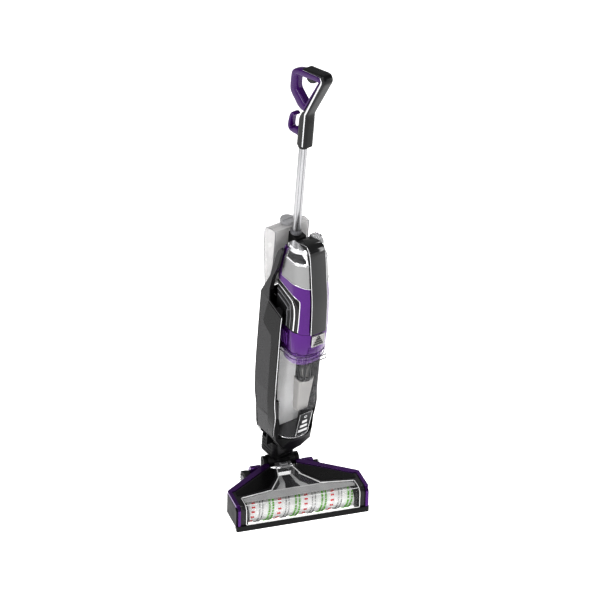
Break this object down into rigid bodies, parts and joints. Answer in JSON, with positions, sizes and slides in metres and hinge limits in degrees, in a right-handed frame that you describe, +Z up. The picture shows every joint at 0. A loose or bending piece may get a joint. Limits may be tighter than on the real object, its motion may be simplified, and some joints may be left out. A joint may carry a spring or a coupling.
{
  "type": "upright carpet and floor washer",
  "caption": "Upright wet floor and carpet cleaner with a brush-roll foot, swivel neck, clear dirty-water tank, rear clean-water tank, pole and loop handle.",
  "frame": {"origin": "centre of the bounding box on the floor, below the machine", "axes": "+Z up, +X to the machine's left-to-right as seen from the front, -Y out of the foot's front edge"},
  "size_m": [0.312, 0.2492, 1.1213],
  "materials": {
    "black_plastic": "fine moulded texture",
    "dark_grey_plastic": "satin",
    "gloss_grey": "gloss",
    "handle_black": "satin",
    "purple_gloss": "metallic gloss",
    "purple_matte": "satin",
    "brushed_silver": "brushed",
    "silver_gloss": "bright satin",
    "pole_metal": "polished",
    "clear_plastic": "clear polycarbonate",
    "frosted_plastic": "translucent",
    "cap_plastic": "satin",
    "light_grey_plastic": "satin",
    "badge_grey": "gloss",
    "rubber": "matte",
    "brush_tube": "satin",
    "pile_fibre": "fibre",
    "pulley_plastic": "satin",
    "steel": "brushed",
    "hose_plastic": "satin",
    "pump_plastic": "satin",
    "board": "satin",
    "filter_foam": "pleated"
  },
  "bodies": {
    "foot": {"foot_base": "black_plastic", "foot_cover_left": "dark_grey_plastic", "foot_cover_right": "dark_grey_plastic", "side_skirts": "black_plastic", "foot_trims": "purple_gloss", "front_bumper": "black_plastic", "squeegee": "rubber", "pivot_cover": "silver_gloss", "spray_bar": "hose_plastic", "brush_motor": "steel", "drive_belt": "rubber", "wheel_covers": "purple_gloss"},
    "window": {"brush_window": "clear_plastic"},
    "window_button": {"window_latch": "cap_plastic"},
    "brush": {"brush_core": "brush_tube", "brush_pile": "pile_fibre", "brush_pulley": "pulley_plastic"},
    "motor_rotor": {"motor_pulley": "steel"},
    "wheel_left": {"rear_wheel_left": "rubber"},
    "wheel_right": {"rear_wheel_right": "rubber"},
    "neck": {"neck_yoke": "black_plastic"},
    "dirty_tank_unit": {"dirty_tank": "clear_plastic", "tank_lid": "purple_gloss", "lid_filter": "filter_foam", "float_cage": "black_plastic", "strainer_cup": "light_grey_plastic", "tank_badge": "badge_grey", "name_badge": "light_grey_plastic"},
    "float": {"tank_float": "light_grey_plastic"},
    "clean_tank_unit": {"clean_tank": "frosted_plastic"},
    "cap": {"clean_tank_cap": "cap_plastic"},
    "fan": {"impeller": "hose_plastic"},
    "release": {"tank_release": "black_plastic"},
    "trigger": {"trigger": "handle_black"},
    "cord_hook": {"cord_wrap": "purple_matte"},
    "button": {"power_button": "purple_matte"},
    "upright": {"neck_fairing": "black_plastic", "lower_nose": "black_plastic", "left_shell": "dark_grey_plastic", "right_shell": "dark_grey_plastic", "rear_cover": "dark_grey_plastic", "cover_screws": "steel", "lower_cord_hook": "black_plastic", "spine_frame": "black_plastic", "suction_tube": "hose_plastic", "water_pump": "pump_plastic", "control_board": "board", "motor_housing": "black_plastic", "suction_motor": "steel", "purple_panel_left": "purple_gloss", "purple_panel_right": "purple_gloss", "silver_drum": "brushed_silver", "vent_grilles": "black_plastic", "front_strip": "gloss_grey", "carry_handle": "silver_gloss", "pole_socket": "black_plastic", "pole": "pole_metal", "handle_spine": "handle_black", "handle_grip": "purple_matte", "handle_trims": "silver_gloss"}
  },
  "joints": [
    {"name": "recline", "type": "hinge", "parent": "foot", "child": "neck", "pos_m": [0, 0.0822, 0.062], "axis": [-1, 0, 0], "range_deg": [0, 72]},
    {"name": "swivel", "type": "hinge", "parent": "neck", "child": "upright", "pos_m": [0, 0.07802, 0.09171], "axis": [0, -0.1392, 0.9903], "range_deg": [-63, 27]},
    {"name": "brush_spin", "type": "hinge", "parent": "foot", "child": "brush", "pos_m": [0, -0.0578, 0.027], "axis": [1, 0, 0], "continuous": true},
    {"name": "motor_spin", "type": "hinge", "parent": "foot", "child": "motor_rotor", "pos_m": [-0.134, -0.0188, 0.042], "axis": [1, 0, 0], "continuous": true},
    {"name": "wheel_left_spin", "type": "hinge", "parent": "foot", "child": "wheel_left", "pos_m": [-0.078, 0.0722, 0.024], "axis": [1, 0, 0], "continuous": true},
    {"name": "wheel_right_spin", "type": "hinge", "parent": "foot", "child": "wheel_right", "pos_m": [0.078, 0.0722, 0.024], "axis": [1, 0, 0], "continuous": true},
    {"name": "window_lift", "type": "slide", "parent": "foot", "child": "window", "axis": [0, -0.342, 0.9397], "range_m": [0, 0.052]},
    {"name": "window_latch_press", "type": "slide", "parent": "foot", "child": "window_button", "axis": [0, 0, -1], "range_m": [0, 0.0025], "stiffness_N_per_m": 300},
    {"name": "dirty_tank_pull", "type": "slide", "parent": "upright", "child": "dirty_tank_unit", "axis": [0.309, -0.9418, -0.1324], "range_m": [0, 0.13]},
    {"name": "float_rise", "type": "slide", "parent": "dirty_tank_unit", "child": "float", "axis": [0, -0.1392, 0.9903], "range_m": [0, 0.05]},
    {"name": "clean_tank_lift", "type": "slide", "parent": "upright", "child": "clean_tank_unit", "axis": [0, -0.1392, 0.9903], "range_m": [0, 0.165]},
    {"name": "cap_turn", "type": "hinge", "parent": "clean_tank_unit", "child": "cap", "pos_m": [-0.01329, 0.03293, 0.70641], "axis": [0, -0.1392, 0.9903], "range_deg": [0, 180]},
    {"name": "fan_spin", "type": "hinge", "parent": "upright", "child": "fan", "pos_m": [0.01298, -0.02834, 0.56148], "axis": [0, -0.1392, 0.9903], "continuous": true},
    {"name": "tank_release_press", "type": "slide", "parent": "upright", "child": "release", "axis": [0, -0.1392, 0.9903], "range_m": [0, 0.004], "stiffness_N_per_m": 400},
    {"name": "trigger_squeeze", "type": "hinge", "parent": "upright", "child": "trigger", "pos_m": [0.00587, -0.08072, 1.09134], "axis": [0.9511, 0.306, 0.043], "range_deg": [0, 9], "stiffness_Nm_per_rad": 0.6},
    {"name": "cord_hook_turn", "type": "hinge", "parent": "upright", "child": "cord_hook", "pos_m": [-0.00927, -0.01383, 0.95028], "axis": [-0.309, 0.9418, 0.1324], "range_deg": [0, 180]},
    {"name": "button_press", "type": "slide", "parent": "upright", "child": "button", "axis": [0.309, -0.9418, -0.1324], "range_m": [0, 0.0015], "stiffness_N_per_m": 300}
  ],
  "couplings": [
    {"joint": "motor_spin", "follows": "brush_spin", "ratio": 2}
  ]
}
